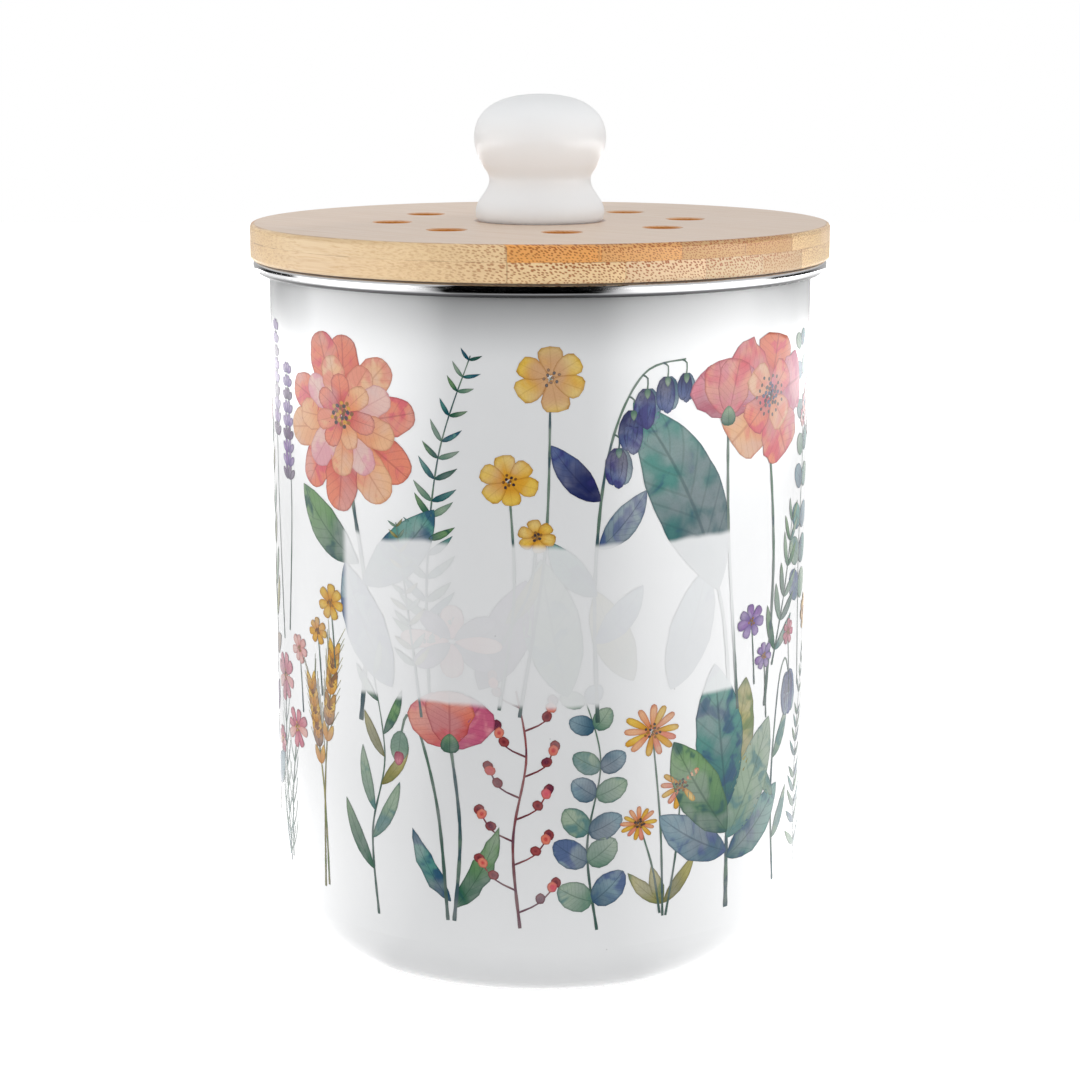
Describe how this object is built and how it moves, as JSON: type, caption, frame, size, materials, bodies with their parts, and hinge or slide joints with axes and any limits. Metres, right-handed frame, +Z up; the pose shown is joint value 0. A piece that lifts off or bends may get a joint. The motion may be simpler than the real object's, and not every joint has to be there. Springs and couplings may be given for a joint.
{
  "type": "compost caddy",
  "caption": "Round kitchen compost caddy: enamelled steel pail with a steel rim, vented bamboo lid with a turned knob, seal and a pull-out charcoal filter.",
  "frame": {"origin": "centre of the foot, on the surface that the caddy stands on", "axes": "+Z up through the knob, the front of the caddy faces -Y, +X to the right seen from the front"},
  "size_m": [0.1814, 0.1814, 0.2673],
  "materials": {
    "enamel": "gloss white vitreous enamel, with a printed botanical band",
    "polished_steel": "polished stainless steel",
    "bamboo_upper": "lacquered bamboo",
    "bamboo_lower": "lacquered bamboo",
    "bamboo_plug": "sanded bamboo",
    "silicone": "translucent silicone",
    "knob_glaze": "gloss white glaze",
    "brass_insert": "turned brass",
    "zinc_screw": "zinc plated",
    "filter_plastic": "matt moulded plastic",
    "charcoal_felt": "carbon-loaded felt"
  },
  "bodies": {
    "pail": {"pail_shell": "enamel", "rim_trim": "polished_steel"},
    "lid": {"lid_upper_ply": "bamboo_upper", "lid_lower_ply": "bamboo_lower", "lid_plug_ply": "bamboo_plug", "lid_seal": "silicone", "knob": "knob_glaze", "knob_insert": "brass_insert", "knob_screw": "zinc_screw", "knob_washer": "zinc_screw", "filter_frame": "filter_plastic", "frame_screws": "zinc_screw"},
    "filter_cover": {"filter_cover": "filter_plastic", "charcoal_pad": "charcoal_felt"}
  },
  "joints": [
    {"name": "lid_lift", "type": "slide", "parent": "pail", "child": "lid", "axis": [0, 0, 1], "range_m": [0, 0.15]},
    {"name": "filter_cover_pull", "type": "slide", "parent": "lid", "child": "filter_cover", "axis": [0, 0, -1], "range_m": [0, 0.04]}
  ]
}
